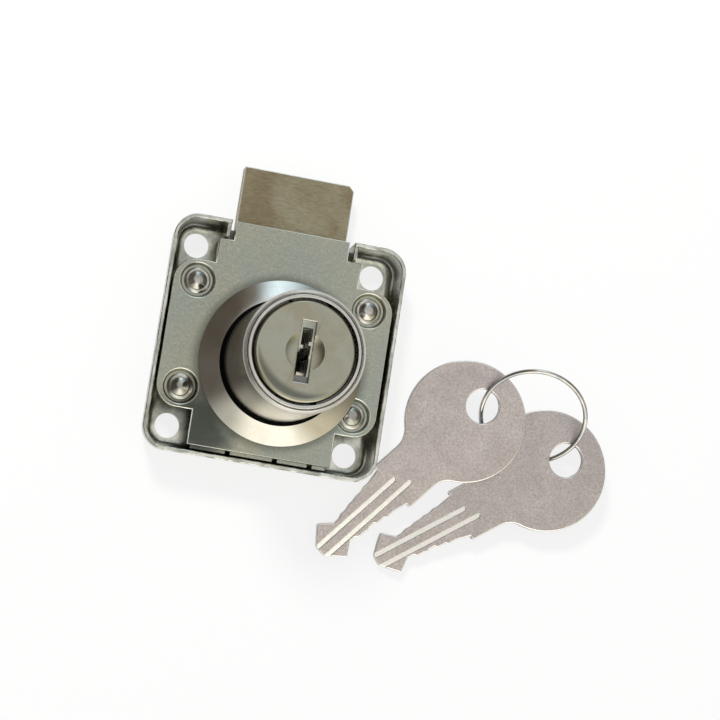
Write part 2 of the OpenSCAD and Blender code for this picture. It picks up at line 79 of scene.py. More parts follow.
class LockFinishes(bpy.types.PropertyGroup):
    """Colours of the lock's finishes."""
    cover: colour_prop("Cover", "Satin zinc on the cover", "#aaa998")
    cover_cool: colour_prop("Cool cover", "Cooler patches in the cover's zinc", "#a0a499")
    # Painted dark: laid over the cover round the trim ring and at its lower left, and over the cap's lower left rim,
    # as painted shade and dark reflection
    painted_dark: colour_prop("Painted dark", "Dull zinc beside the trim ring", "#4e524c")
    tray: colour_prop("Tray", "Brighter zinc on the case", "#d9d9ce")
    tray_dull: colour_prop("Dull tray", "Dull patches in the case's zinc", "#9fa197")
    # The case's rounded rim edges are painted dark as shade lines
    rim_edge: colour_prop("Rim edge", "Rubbed edges of the case's rim", "#6a6b65")
    # Edge highlight: the rounded edges of the cover and the bolt are painted bright as highlight lines
    cut_edge: colour_prop("Edge highlight", "Bright sheared edges of the sheet", "#e2e3dc")
    rivet: colour_prop("Rivet", "Peened domes of the rivets", "#94958d")
    bolt: colour_prop("Bolt", "Bare drawn steel of the bolt", "#9e977f")
    bolt_stain: colour_prop("Bolt stain", "Brown stains on the bolt", "#8c8066")
    chrome: colour_prop("Barrel chrome", "Polished plating on the barrel", "#c6c4bd")
    chrome_haze: colour_prop("Chrome haze", "Hazy patches in the polish", "#bbb9b2")
    trim: colour_prop("Trim chrome", "Polished plating on the trim ring", "#bcb9b0")
    cap: colour_prop("Cap", "Satin cap on the plug", "#9d9d8f")
    cap_warm: colour_prop("Warm cap", "Handled patches on the cap", "#97927f")
    zinc: colour_prop("Cast zinc", "Die-cast plug", "#b6bab2")
    # Painted deep shade: near-black laid into the gap under the trim ring, the barrel's front recess and the keyway's
    # lower half, where shade falls
    painted_deep_shade: colour_prop("Painted deep shade", "Oil and dirt low in the keyway", "#121313")
    brass: colour_prop("Brass", "Pale stamped wafers", "#d6d0bd")
    spring: colour_prop("Spring steel", "Clip and wafer springs", "#8a8a88")
    nickel: colour_prop("Nickel", "Matt nickel on the keys", "#c5bdbc")
    nickel_dull: colour_prop("Dull nickel", "Handled patches on the keys", "#bbb3b2")
    # The keys' rounded edges and blade grooves are painted bright as highlight
    key_edge: colour_prop("Key edge", "Bright stamped edges of the keys", "#e8e3e1")
    # The keys' side walls and hole walls are painted dark as shade
    key_wall: colour_prop("Key wall", "Blanked walls of the keys", "#4c4846")
    wire: colour_prop("Ring wire", "Bright wire of the key ring", "#a6a6a8")


class LockShapes(bpy.types.PropertyGroup):
    """Small roundings and counts of the dressed pieces."""
    case_edge: length_prop("Case edge", "Rounding of the case's edges", 0.16)
    cover_edge: length_prop("Cover edge", "Rounding of the cover's edges", 0.14)
    bolt_edge: length_prop("Bolt edge", "Rounding of the bolt's edges", 0.18)
    barrel_edge: length_prop("Barrel edge", "Rounding of the barrel's edges", 0.1)
    cap_edge: length_prop("Cap edge", "Rounding of the cap's key slot", 0.12)
    cap_round: length_prop("Cap round", "Radius of the cap's rolled rim", 0.55)
    cap_sheet: length_prop("Cap sheet", "Thickness of the cap", 0.5)
    slot_width: length_prop("Slot width", "Width of the key slot", 2.3)
    slot_height: length_prop("Slot height", "Height of the key slot", 10.0)
    dish_width: length_prop("Dish width", "Width of the dish in the cap", 6.4)
    dish_depth: length_prop("Dish depth", "Depth of the dish in the cap", 0.45)
    key_edge: length_prop("Key edge", "Rounding of the keys' edges", 0.2)
    trim_crown: length_prop("Trim crown", "Radius of the trim ring's crown", 16.0)
    trim_sheet: length_prop("Trim sheet", "Thickness of the trim ring", 0.5)
    trim_upright: length_prop("Trim upright", "Height of the trim ring's upright edge", 0.3)
    rivet_dome: length_prop("Rivet dome", "Diameter of a rivet's dome", 3.4)
    rivet_flange: length_prop("Rivet flange", "Diameter of the flange under a rivet's dome", 4.5)
    ring_wire: length_prop("Ring wire", "Diameter of the key ring's wire", 0.8)
    coil_wire: length_prop("Coil wire", "Diameter of a wafer spring's wire", 0.22)
    turns: bpy.props.IntProperty(name="Coil turns", description="Turns of a wafer spring", default=5, min=1)
    facets: bpy.props.IntProperty(name="Facets", description="Facets round a turned piece", default=192, min=24)


class LockStage(bpy.types.PropertyGroup):
    """Camera, floor and lamps."""
    camera_at: bpy.props.FloatVectorProperty(
        name="Camera", description="Where the camera stands", subtype="TRANSLATION", unit="LENGTH", size=3,
        default=(-71.99 * MM, -51.74 * MM, 441.36 * MM))
    camera_look: bpy.props.FloatVectorProperty(
        name="Look", description="The way the camera looks", subtype="DIRECTION", size=3,
        default=(0.1906, 0.1223, -0.974))
    camera_up: bpy.props.FloatVectorProperty(
        name="Up", description="The way up in the picture", subtype="DIRECTION", size=3,
        default=(-0.1738, 0.9807, 0.0891))
    lens: bpy.props.FloatProperty(name="Lens", description="Focal length in millimetres", default=132.95)
    floor: length_prop("Floor", "Width of the floor", 3000.0)
    sky: bpy.props.FloatProperty(name="Sky", description="Soft light from all round", default=0.6)
    lamp: bpy.props.FloatProperty(name="Lamp", description="Power of the softbox", unit="POWER", default=3.0)
    tent: length_prop("Tent", "Radius of the tent whose panels the metal mirrors", 600.0)


# Node helpers

def add_node(tree, kind, inputs=None, **settings):
    """A new node with its settings, and its inputs set to values or linked to sockets."""
    node = tree.nodes.new(kind)
    for key, value in settings.items():
        setattr(node, key, value)
    for key, value in (inputs or {}).items():
        if isinstance(value, bpy.types.NodeSocket):
            tree.links.new(value, node.inputs[key])
        else:
            node.inputs[key].default_value = value
    return node


def new_group(name, kind, inputs, outputs):
    """An empty node group with named sockets, and its input and output nodes."""
    tree = bpy.data.node_groups.new(name, kind)
    for in_out, sockets in (("INPUT", inputs), ("OUTPUT", outputs)):
        for socket_name, socket_type, default in sockets:
            socket = tree.interface.new_socket(socket_name, in_out=in_out, socket_type=socket_type)
            if default is not None:
                socket.default_value = default
    return tree, tree.nodes.new("NodeGroupInput"), tree.nodes.new("NodeGroupOutput")


def grain_group():
    """Fine grain of a plated or pitted surface: a mask and a height."""
    name = "Lock grain"
    if name in bpy.data.node_groups:
        return bpy.data.node_groups[name]
    tree, given, result = new_group(
        name, "ShaderNodeTree",
        [("Vector", "NodeSocketVector", None), ("Scale", "NodeSocketFloat", 3000.0)],
        [("Mask", "NodeSocketFloat", None), ("Height", "NodeSocketFloat", None)])
    fine = add_node(tree, "ShaderNodeTexNoise", {"Vector": given.outputs["Vector"], "Scale": given.outputs["Scale"],
                                                 "Detail": 3.0, "Roughness": 0.65})
    mask = add_node(tree, "ShaderNodeMapRange", {"Value": fine.outputs["Fac"], "From Min": 0.35, "From Max": 0.65})
    tree.links.new(mask.outputs["Result"], result.inputs["Mask"])
    tree.links.new(fine.outputs["Fac"], result.inputs["Height"])
    return tree


def patches_group():
    """Broad cloudy patches of a stained or hazy finish."""
    name = "Lock patches"
    if name in bpy.data.node_groups:
        return bpy.data.node_groups[name]
    tree, given, result = new_group(
        name, "ShaderNodeTree", [("Vector", "NodeSocketVector", None), ("Scale", "NodeSocketFloat", 120.0)],
        [("Mask", "NodeSocketFloat", None)])
    cloud = add_node(tree, "ShaderNodeTexNoise", {"Vector": given.outputs["Vector"], "Scale": given.outputs["Scale"],
                                                  "Detail": 4.0, "Distortion": 0.6})
    mask = add_node(tree, "ShaderNodeMapRange", {"Value": cloud.outputs["Fac"], "From Min": 0.36, "From Max": 0.64},
                    interpolation_type="SMOOTHSTEP")
    tree.links.new(mask.outputs["Result"], result.inputs["Mask"])
    return tree


def scuffs_group():
    """Thin straight scratches that cross each other."""
    name = "Lock scuffs"
    if name in bpy.data.node_groups:
        return bpy.data.node_groups[name]
    tree, given, result = new_group(
        name, "ShaderNodeTree",
        [("Vector", "NodeSocketVector", None), ("Scale", "NodeSocketFloat", 5000.0),
         ("Amount", "NodeSocketFloat", 0.2)],
        [("Mask", "NodeSocketFloat", None)])
    ways = []
    for turn, stretch in ((0.7, 0.03), (-0.4, 0.02)):
        turned = add_node(tree, "ShaderNodeMapping", {"Vector": given.outputs["Vector"],
                                                      "Rotation": (0.0, 0.0, turn)})
        drawn = add_node(tree, "ShaderNodeVectorMath", {0: turned.outputs["Vector"], 1: (1.0, stretch, 1.0)},
                         operation="MULTIPLY")
        lines = add_node(tree, "ShaderNodeTexNoise", {"Vector": drawn.outputs["Vector"],
                                                      "Scale": given.outputs["Scale"], "Detail": 1.0})
        ways.append(add_node(tree, "ShaderNodeMapRange", {"Value": lines.outputs["Fac"], "From Min": 0.66,
                                                          "From Max": 0.74}).outputs["Result"])
    either = add_node(tree, "ShaderNodeMath", {0: ways[0], 1: ways[1]}, operation="MAXIMUM")
    share = add_node(tree, "ShaderNodeMath", {0: either.outputs["Value"], 1: given.outputs["Amount"]},
                     operation="MULTIPLY")
    tree.links.new(share.outputs["Value"], result.inputs["Mask"])
    return tree


def along(axis, start, end):
    """A mask that grows from a start to an end on an axis, in millimetres."""
    def mask(tree, spot):
        parts = add_node(tree, "ShaderNodeSeparateXYZ", {"Vector": spot})
        return add_node(tree, "ShaderNodeMapRange", {"Value": parts.outputs[axis], "From Min": start * MM,
                                                     "From Max": end * MM}).outputs["Result"]
    return mask


def round_axis(start, end, most=1.0, centre=(0.0, 0.0)):
    """A mask that grows from a start to an end radius round an upright axis, in millimetres."""
    def mask(tree, spot):
        flat = add_node(tree, "ShaderNodeVectorMath", {0: spot, 1: (1.0, 1.0, 0.0)}, operation="MULTIPLY")
        out = add_node(tree, "ShaderNodeVectorMath", {0: flat.outputs["Vector"], 1: (*(c * MM for c in centre), 0.0)},
                       operation="DISTANCE")
        return add_node(tree, "ShaderNodeMapRange", {"Value": out.outputs["Value"], "From Min": start * MM,
                                                     "From Max": end * MM, "To Max": most},
                        interpolation_type="SMOOTHSTEP").outputs["Result"]
    return mask


def both(first, second):
    """A mask of what two masks share."""
    def mask(tree, spot):
        return add_node(tree, "ShaderNodeMath", {0: first(tree, spot), 1: second(tree, spot)},
                        operation="MULTIPLY").outputs["Value"]
    return mask


# The painted dark reflection over the cover's lower left: its middle, how far it fades out and in, and how far its
# edge wanders
CORNER = (-12.5 * MM, -12.0 * MM, 0.0)
CORNER_FADE = (11.5 * MM, 5.5 * MM)
CORNER_WANDER = 5.0 * MM


def dark_reflection_corner(tree, spot):
    """A mask of painted dark reflection over the cover's lower left, with a cloudy edge."""
    flat = add_node(tree, "ShaderNodeVectorMath", {0: spot, 1: (1.0, 1.0, 0.0)}, operation="MULTIPLY")
    near = add_node(tree, "ShaderNodeVectorMath", {0: flat.outputs["Vector"], 1: CORNER}, operation="DISTANCE")
    cloud = add_node(tree, "ShaderNodeTexNoise", {"Vector": spot, "Scale": 260.0, "Detail": 3.0})
    wander = add_node(tree, "ShaderNodeMath", {0: cloud.outputs["Fac"], 1: CORNER_WANDER, 2: near.outputs["Value"]},
                      operation="MULTIPLY_ADD")
    return add_node(tree, "ShaderNodeMapRange", {"Value": wander.outputs["Value"], "From Min": CORNER_FADE[0],
                                                 "From Max": CORNER_FADE[1]},
                    interpolation_type="SMOOTHSTEP").outputs["Result"]


# Brightness of pits and of scratches, as shares of the metal round them
PIT_SHADE = 0.45
SCUFF_SHINE = 1.5


def metal(name, colour, second, roughness, patch=120.0, grain=3000.0, depth=0.004, spread=0.1, pits=0.15,
          stretch=(1.0, 1.0, 1.0), scuffs=0.0, veils=()):
    """A metal with cloudy colour, pits, scratches, veils of painted shade and dark reflection, grainy roughness and a
    fine bump.
    """
    material = bpy.data.materials.new(name)
    material.use_nodes = True
    tree = material.node_tree
    shader = tree.nodes["Principled BSDF"]
    shader.inputs["Metallic"].default_value = 1.0
    spot = add_node(tree, "ShaderNodeTexCoord").outputs["Object"]
    drawn = add_node(tree, "ShaderNodeMapping", {"Vector": spot, "Scale": stretch})
    clouds = add_node(tree, "ShaderNodeGroup", node_tree=patches_group())
    grains = add_node(tree, "ShaderNodeGroup", node_tree=grain_group())
    tree.links.new(spot, clouds.inputs["Vector"])
    tree.links.new(drawn.outputs["Vector"], grains.inputs["Vector"])
    clouds.inputs["Scale"].default_value = patch
    grains.inputs["Scale"].default_value = grain
    tint = add_node(tree, "ShaderNodeMix", {"Factor": clouds.outputs["Mask"]}, data_type="RGBA")
    tint.inputs["A"].default_value = (*colour, 1.0)
    tint.inputs["B"].default_value = (*second, 1.0)
    speck = add_node(tree, "ShaderNodeMath", {0: grains.outputs["Mask"], 1: pits}, operation="MULTIPLY")
    tint = add_node(tree, "ShaderNodeMix", {"Factor": speck.outputs["Value"], "A": tint.outputs["Result"]},
                    data_type="RGBA")
    tint.inputs["B"].default_value = (*(PIT_SHADE * c for c in second), 1.0)
    rough = add_node(tree, "ShaderNodeMapRange", {"Value": grains.outputs["Mask"], "To Min": roughness - spread / 2,
                                                  "To Max": roughness + spread / 2})
    if scuffs:
        lines = add_node(tree, "ShaderNodeGroup", node_tree=scuffs_group())
        tree.links.new(spot, lines.inputs["Vector"])
        lines.inputs["Amount"].default_value = scuffs
        tint = add_node(tree, "ShaderNodeMix", {"Factor": lines.outputs["Mask"], "A": tint.outputs["Result"]},
                        data_type="RGBA")
        tint.inputs["B"].default_value = (*(min(1.0, SCUFF_SHINE * c) for c in colour), 1.0)
    for mask, veil in veils:
        tint = add_node(tree, "ShaderNodeMix", {"Factor": mask(tree, spot), "A": tint.outputs["Result"]},
                        data_type="RGBA")
        tint.inputs["B"].default_value = (*veil, 1.0)
    bump = add_node(tree, "ShaderNodeBump", {"Height": grains.outputs["Height"], "Strength": 1.0,
                                             "Distance": depth * MM})
    tree.links.new(tint.outputs["Result"], shader.inputs["Base Color"])
    tree.links.new(rough.outputs["Result"], shader.inputs["Roughness"])
    tree.links.new(bump.outputs["Normal"], shader.inputs["Normal"])
    return material


FINISHES = {}


def make_finishes(tones):
    """All the lock's materials, by name."""
    # Painted shadow: the cover under the trim ring's inner lip goes near-black
    gap = (round_axis(11.4, 10.9), tones.painted_deep_shade)
    FINISHES.update(
        # The cover takes painted dark reflection over its lower left, painted shade and dark reflection round the
        # trim ring, and the painted gap shadow
        cover=metal("cover_zinc", tones.cover, tones.cover_cool, 0.33, patch=90.0, grain=2600.0, depth=0.004,
                    spread=0.12, pits=0.24, scuffs=0.02,
                    veils=((dark_reflection_corner, tones.painted_dark), (round_axis(15.6, 13.7, 0.6), tones.painted_dark), gap)),
        tray=metal("tray_zinc", tones.tray, tones.tray_dull, 0.32, patch=230.0, grain=2200.0, depth=0.0015,
                   spread=0.1, pits=0.12, scuffs=0.1),
        # Rounded edges of the case: painted shade lines
        rim_edge=metal("painted_rim_shade", tones.rim_edge, tones.cut_edge, 0.3, patch=500.0, grain=3000.0, pits=0.3),
        # Rounded edges of the cover and bolt: painted highlight lines
        cut_edge=metal("painted_edge_highlight", tones.cut_edge, tones.tray, 0.26, patch=700.0, grain=3000.0, pits=0.3),
        rivet=metal("peened_rivet", tones.rivet, tones.chrome, 0.12, patch=400.0, grain=3000.0, pits=0.1),
        bolt=metal("drawn_steel", tones.bolt, tones.bolt_stain, 0.42, patch=110.0, depth=0.005, spread=0.14,
                   stretch=(0.3, 1.0, 1.0), scuffs=0.15),
        # The barrel's front recess round the cap is painted dark as shade
        chrome=metal("barrel_chrome", tones.chrome, tones.chrome_haze, 0.2, patch=160.0, grain=2500.0, depth=0.001,
                     spread=0.08, pits=0.1, scuffs=0.1, veils=((round_axis(8.72, 8.6, 0.75), tones.painted_deep_shade),)),
        trim=metal("trim_chrome", tones.trim, tones.chrome, 0.13, patch=160.0, grain=2500.0, depth=0.0012,
                   spread=0.06, pits=0.06),
        # The cap's rim is painted darker towards its lower left as shade
        cap=metal("satin_cap", tones.cap, tones.cap_warm, 0.17, patch=140.0, grain=3500.0, depth=0.001, spread=0.06,
                  pits=0.06, scuffs=0.1,
                  veils=((both(round_axis(9.3, 10.4, 0.75, (1.6, 3.2)), round_axis(7.75, 7.3)), tones.painted_dark),)),
        # The keyway's lower left is painted near-black as shade, and the zinc lowest in the keyway turns a mid grey
        zinc=metal("cast_zinc", tones.zinc, tones.tray, 0.6, patch=300.0, grain=3500.0, depth=0.008, spread=0.15,
                   veils=((both(along("Y", 0.7, -0.3), along("X", 0.8, 0.7)), tones.painted_deep_shade),
                          (along("Y", -3.85, -4.0), tones.spring))),
        brass=metal("stamped_brass", tones.brass, tones.tray, 0.32, patch=300.0, grain=3500.0),
        spring=metal("spring_steel", tones.spring, tones.chrome, 0.3, patch=900.0, grain=5000.0),
        nickel=metal("matt_nickel", tones.nickel, tones.nickel_dull, 0.44, patch=150.0, grain=3200.0, depth=0.011,
                     spread=0.16, pits=0.4, scuffs=0.08),
        # Rounded edges and grooves of the keys: painted highlight
        key_edge=metal("painted_edge_glint", tones.key_edge, tones.cut_edge, 0.24, patch=700.0, grain=3000.0, pits=0.2),
        # Side walls of the keys: painted shade
        key_wall=metal("painted_wall_shade", tones.key_wall, tones.nickel_dull, 0.4, patch=500.0, grain=3000.0, pits=0.3,
                       stretch=(1.0, 1.0, 0.2)),
        wire=metal("bright_wire", tones.wire, tones.chrome, 0.1, patch=400.0, grain=4000.0, depth=0.001))


# Mesh helpers

def new_object(name, data):
    """A new object in the scene, of a mesh, a lamp or a camera."""
    thing = bpy.data.objects.new(name, data)
    bpy.context.scene.collection.objects.link(thing)
    return thing


def made_plain(thing):
    """Turns the object's modifiers into a plain mesh."""
    graph = bpy.context.evaluated_depsgraph_get()
    graph.update()
    mesh = bpy.data.meshes.new_from_object(thing.evaluated_get(graph), preserve_all_data_layers=True,
                                           depsgraph=graph)
    thing.modifiers.clear()
    thing.data = mesh
    return thing


def finished(thing, body, slot, *nodes):
    """Puts a dressed piece on its body, in place of its nodes."""
    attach(thing, body)
    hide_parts(*nodes)


def reach_along(verts, way):
    """The least and the most that points reach along a direction."""
    reach = [v.co.dot(way) for v in verts]
    return min(reach), max(reach)


# Faces that meet flatter than this are one face, and edges shorter than the sliver are closed
FLAT = math.radians(0.5)
SLIVER = 0.004 * MM
# Shares of a sheet's thickness: the margin that tells a wall from a face, and the height of a full wall
WALL_MARGIN = 0.1
FULL_WALL = 0.6
# Rounding of a groove's edges, as a share of the outer edges'
GROOVE_ROUNDING = 0.4


def dressed(node, name, width, face, edge, wall=None, above=-1.0, sharp=math.radians(32)):
    """A copy of a node with its sharp edges above a height rounded, and the roundings in the edge finish.

    Where a wall finish is given, sides as tall as the sheet take it, as painted shade. Grooves then take the edge
    finish, as a painted highlight, and their edges a smaller rounding.
    """
    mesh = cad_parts[node].data.copy()
    shape = bmesh.new()
    shape.from_mesh(mesh)
    bmesh.ops.remove_doubles(shape, verts=shape.verts, dist=WELD)
    bmesh.ops.dissolve_limit(shape, angle_limit=FLAT, verts=shape.verts, edges=shape.edges)
    bmesh.ops.dissolve_degenerate(shape, dist=SLIVER, edges=shape.edges)
    broad = max(shape.faces, key=lambda side: side.calc_area()).normal.copy()
    back, front = reach_along(shape.verts, broad)
    thick = front - back
    for side in shape.faces:
        side.smooth = True
        side.material_index = 0
        low, high = reach_along(side.verts, broad)
        if wall and high > back + WALL_MARGIN * thick and low < front - WALL_MARGIN * thick:
            side.material_index = 2 if high - low > FULL_WALL * thick else 1
    weight = shape.edges.layers.float.new("bevel_weight_edge")
    for line in shape.edges:
        if line.calc_face_angle(0.0) > sharp:
            inner = wall and all(side.material_index < 2 for side in line.link_faces)
            rounded = min(v.co.z for v in line.verts) > above
            line[weight] = (GROOVE_ROUNDING if inner else 1.0) * rounded
            line.smooth = rounded
    mesh.materials.clear()
    for finish in filter(None, (face, edge, wall)):
        mesh.materials.append(finish)
    shape.to_mesh(mesh)
    shape.free()
    if "custom_normal" in mesh.attributes:
        mesh.attributes.remove(mesh.attributes["custom_normal"])
    thing = new_object(name, mesh)
    rounding = thing.modifiers.new("Rounding", "BEVEL")
    rounding.width = width
    rounding.segments = 2
    rounding.limit_method = "WEIGHT"
    rounding.harden_normals = True
    rounding.material = 1
    rounding.use_clamp_overlap = False
    return made_plain(thing)


def turned_piece(name, outline, facets, material, sharp=math.radians(30)):
    """A ring or a cap: the outline of radius and height pairs turned round the barrel's axis."""
    closed = outline[0][0] > 0.0
    shape = bmesh.new()
    rows = []
    for i in range(facets):
        angle = 2 * math.pi * i / facets
        rows.append([shape.verts.new((r * math.cos(angle), r * math.sin(angle), z)) for r, z in outline])
    for i in range(facets):
        near, far = rows[i], rows[(i + 1) % facets]
        for j in range(len(outline) if closed else len(outline) - 1):
            k = (j + 1) % len(outline)
            shape.faces.new((near[j], far[j], far[k], near[k])).smooth = True
    bmesh.ops.remove_doubles(shape, verts=shape.verts, dist=WELD)
    bmesh.ops.recalc_face_normals(shape, faces=shape.faces)
    for line in shape.edges:
        line.smooth = line.calc_face_angle() < sharp
    mesh = bpy.data.meshes.new(name)
    shape.to_mesh(mesh)
    shape.free()
    mesh.materials.append(material)
    return new_object(name, mesh)


def middle(node):
    """The middle of a node's box."""
    low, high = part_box(node)
    return (low + high) / 2


# Geometry node trees

def end_tree(tree, result, geometry, material):
    """Ends a tree with plain mesh, smooth faces and its material."""
    real = add_node(tree, "GeometryNodeRealizeInstances", {"Geometry": geometry})
    smooth = add_node(tree, "GeometryNodeSetShadeSmooth", {"Geometry": real.outputs["Geometry"]})
    painted = add_node(tree, "GeometryNodeSetMaterial", {"Geometry": smooth.outputs["Geometry"],
                                                         "Material": material})
    tree.links.new(painted.outputs["Geometry"], result.inputs["Geometry"])


def grown(name, tree, values):
    """An object made by a geometry node tree with the given inputs, as a plain mesh."""
    thing = new_object(name, bpy.data.meshes.new(name))
    growth = thing.modifiers.new("Growth", "NODES")
    growth.node_group = tree
    sockets = {s.name: s.identifier for s in tree.interface.items_tree if s.in_out == "INPUT"}
    for key, value in values.items():
        growth[sockets[key]] = value
    return made_plain(thing)


def rivet_tree(material):
    """Rivets on the corners of a rectangle: a dome on a flange, a shank and a spacer."""
    tree, given, result = new_group(
        "Lock rivets", "GeometryNodeTree",
        [("Centre", "NodeSocketVector", None), ("Across", "NodeSocketFloat", 0.03),
         ("Along", "NodeSocketFloat", 0.02), ("Dome radius", "NodeSocketFloat", 0.0017),
         ("Dome height", "NodeSocketFloat", 0.0007), ("Flange radius", "NodeSocketFloat", 0.0022),
         ("Flange height", "NodeSocketFloat", 0.0003), ("Seat", "NodeSocketFloat", 0.005),
         ("Shank radius", "NodeSocketFloat", 0.00125), ("Spacer radius", "NodeSocketFloat", 0.0021),
         ("Spacer base", "NodeSocketFloat", 0.0007), ("Spacer top", "NodeSocketFloat", 0.0042)],
        [("Geometry", "NodeSocketGeometry", None)])
    places = add_node(tree, "GeometryNodeMeshGrid", {"Size X": given.outputs["Across"],
                                                     "Size Y": given.outputs["Along"],
                                                     "Vertices X": 2, "Vertices Y": 2})
    lift = add_node(tree, "ShaderNodeCombineXYZ", {"Z": given.outputs["Seat"]})
    crowns = []
    for crown in ("Dome", "Flange"):
        ball = add_node(tree, "GeometryNodeMeshUVSphere", {"Segments": 48, "Rings": 32,
                                                           "Radius": given.outputs[f"{crown} radius"]})
        flat = add_node(tree, "ShaderNodeMath", {0: given.outputs[f"{crown} height"],
                                                 1: given.outputs[f"{crown} radius"]}, operation="DIVIDE")
        squash = add_node(tree, "ShaderNodeCombineXYZ", {"X": 1.0, "Y": 1.0, "Z": flat.outputs["Value"]})
        crowns.append(add_node(tree, "GeometryNodeTransform", {"Geometry": ball.outputs["Mesh"],
                                                               "Translation": lift.outputs["Vector"],
                                                               "Scale": squash.outputs["Vector"]}))
    half = add_node(tree, "ShaderNodeMath", {0: given.outputs["Seat"], 1: 2.0}, operation="DIVIDE")
    rise = add_node(tree, "ShaderNodeCombineXYZ", {"Z": half.outputs["Value"]})
    rod = add_node(tree, "GeometryNodeMeshCylinder", {"Vertices": 32, "Radius": given.outputs["Shank radius"],
                                                      "Depth": given.outputs["Seat"]})
    shank = add_node(tree, "GeometryNodeTransform", {"Geometry": rod.outputs["Mesh"],
                                                     "Translation": rise.outputs["Vector"]})
    height = add_node(tree, "ShaderNodeMath", {0: given.outputs["Spacer top"], 1: given.outputs["Spacer base"]},
                      operation="SUBTRACT")
    level = add_node(tree, "ShaderNodeMath", {0: given.outputs["Spacer top"], 1: given.outputs["Spacer base"]},
                     operation="ADD")
    mid = add_node(tree, "ShaderNodeMath", {0: level.outputs["Value"], 1: 2.0}, operation="DIVIDE")
    seat = add_node(tree, "ShaderNodeCombineXYZ", {"Z": mid.outputs["Value"]})
    drum = add_node(tree, "GeometryNodeMeshCylinder", {"Vertices": 48, "Radius": given.outputs["Spacer radius"],
                                                       "Depth": height.outputs["Value"]})
    spacer = add_node(tree, "GeometryNodeTransform", {"Geometry": drum.outputs["Mesh"],
                                                      "Translation": seat.outputs["Vector"]})
    rivet = add_node(tree, "GeometryNodeJoinGeometry")
    for part in (*crowns, shank, spacer):
        tree.links.new(part.outputs["Geometry"], rivet.inputs["Geometry"])
    spread = add_node(tree, "GeometryNodeInstanceOnPoints", {"Points": places.outputs["Mesh"],
                                                             "Instance": rivet.outputs["Geometry"]})
    moved = add_node(tree, "GeometryNodeTransform", {"Geometry": spread.outputs["Instances"],
                                                     "Translation": given.outputs["Centre"]})
    end_tree(tree, result, moved.outputs["Geometry"], material)
    return tree


def coil_tree(material):
    """A row of coil springs that lie along the plug's cross axis, one above the other."""
    tree, given, result = new_group(
        "Lock wafer springs", "GeometryNodeTree",
        [("Start", "NodeSocketVector", None), ("Pitch", "NodeSocketFloat", 0.002), ("Count", "NodeSocketInt", 5),
         ("Turns", "NodeSocketFloat", 5.0), ("Coil radius", "NodeSocketFloat", 0.0005),
         ("Length", "NodeSocketFloat", 0.003), ("Wire radius", "NodeSocketFloat", 0.0001)],
        [("Geometry", "NodeSocketGeometry", None)])
    coil = add_node(tree, "GeometryNodeCurveSpiral", {"Resolution": 24, "Rotations": given.outputs["Turns"],
                                                      "Start Radius": given.outputs["Coil radius"],
                                                      "End Radius": given.outputs["Coil radius"],
                                                      "Height": given.outputs["Length"]})
    wire = add_node(tree, "GeometryNodeCurvePrimitiveCircle", {"Resolution": 8,
                                                               "Radius": given.outputs["Wire radius"]})
    tube = add_node(tree, "GeometryNodeCurveToMesh", {"Curve": coil.outputs["Curve"],
                                                      "Profile Curve": wire.outputs["Curve"], "Fill Caps": True})
    laid = add_node(tree, "GeometryNodeTransform", {"Geometry": tube.outputs["Mesh"],
                                                    "Rotation": (-math.pi / 2, 0.0, 0.0)})
    step = add_node(tree, "ShaderNodeCombineXYZ", {"Z": given.outputs["Pitch"]})
    row = add_node(tree, "GeometryNodeMeshLine", {"Count": given.outputs["Count"],
                                                  "Start Location": given.outputs["Start"],
                                                  "Offset": step.outputs["Vector"]})
    spread = add_node(tree, "GeometryNodeInstanceOnPoints", {"Points": row.outputs["Mesh"],
                                                             "Instance": laid.outputs["Geometry"]})
    end_tree(tree, result, spread.outputs["Instances"], material)
    return tree


def wire_ring_tree(material):
    """A bent wire ring whose ends butt together."""
    tree, given, result = new_group(
        "Lock key ring", "GeometryNodeTree",
        [("Radius", "NodeSocketFloat", 0.009), ("Wire radius", "NodeSocketFloat", 0.0004),
         ("Gap", "NodeSocketFloat", 0.07)],
        [("Geometry", "NodeSocketGeometry", None)])
    sweep = add_node(tree, "ShaderNodeMath", {0: 2 * math.pi, 1: given.outputs["Gap"]}, operation="SUBTRACT")
    first = add_node(tree, "ShaderNodeMath", {0: given.outputs["Gap"], 1: 0.5}, operation="MULTIPLY")
    begin = add_node(tree, "ShaderNodeMath", {0: first.outputs["Value"], 1: -math.pi / 2}, operation="ADD")
    arc = add_node(tree, "GeometryNodeCurveArc", {"Resolution": 160, "Radius": given.outputs["Radius"],
                                                  "Start Angle": begin.outputs["Value"],
                                                  "Sweep Angle": sweep.outputs["Value"]})
    wire = add_node(tree, "GeometryNodeCurvePrimitiveCircle", {"Resolution": 20,
                                                               "Radius": given.outputs["Wire radius"]})
    tube = add_node(tree, "GeometryNodeCurveToMesh", {"Curve": arc.outputs["Curve"],
                                                      "Profile Curve": wire.outputs["Curve"], "Fill Caps": True})
    end_tree(tree, result, tube.outputs["Mesh"], material)
    return tree


# Operators

# How far below a piece's top its edges are rounded
RIM_REACH = 4.0 * MM
FACE_REACH = 0.05 * MM
FRONT_REACH = 0.7 * MM


class LOCK_OT_case(bpy.types.Operator):
    """Dress the pressed case and its cover plate"""
    bl_idname = "lock.case"
    bl_label = "Case and cover"

    def execute(self, context):
        shapes = context.scene.lock_shapes
        for node, width, finish, edge, reach in (
                ("case_tray", shapes.case_edge, "tray", "rim_edge", RIM_REACH),
                ("cover_plate", shapes.cover_edge, "cover", "cut_edge", FACE_REACH)):
            sheet = dressed(node, f"{node}_sheet", width, FINISHES[finish], FINISHES[edge],
                            above=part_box(node)[1].z - reach)
            finished(sheet, "case", "plated_steel", node)
        return {"FINISHED"}


# The solids' rivet domes, and the flange's height as a share of a dome's
SOLID_DOME = 4.6 * MM
DOME_HEIGHT = 0.75 * MM
FLANGE_SHARE = 0.4


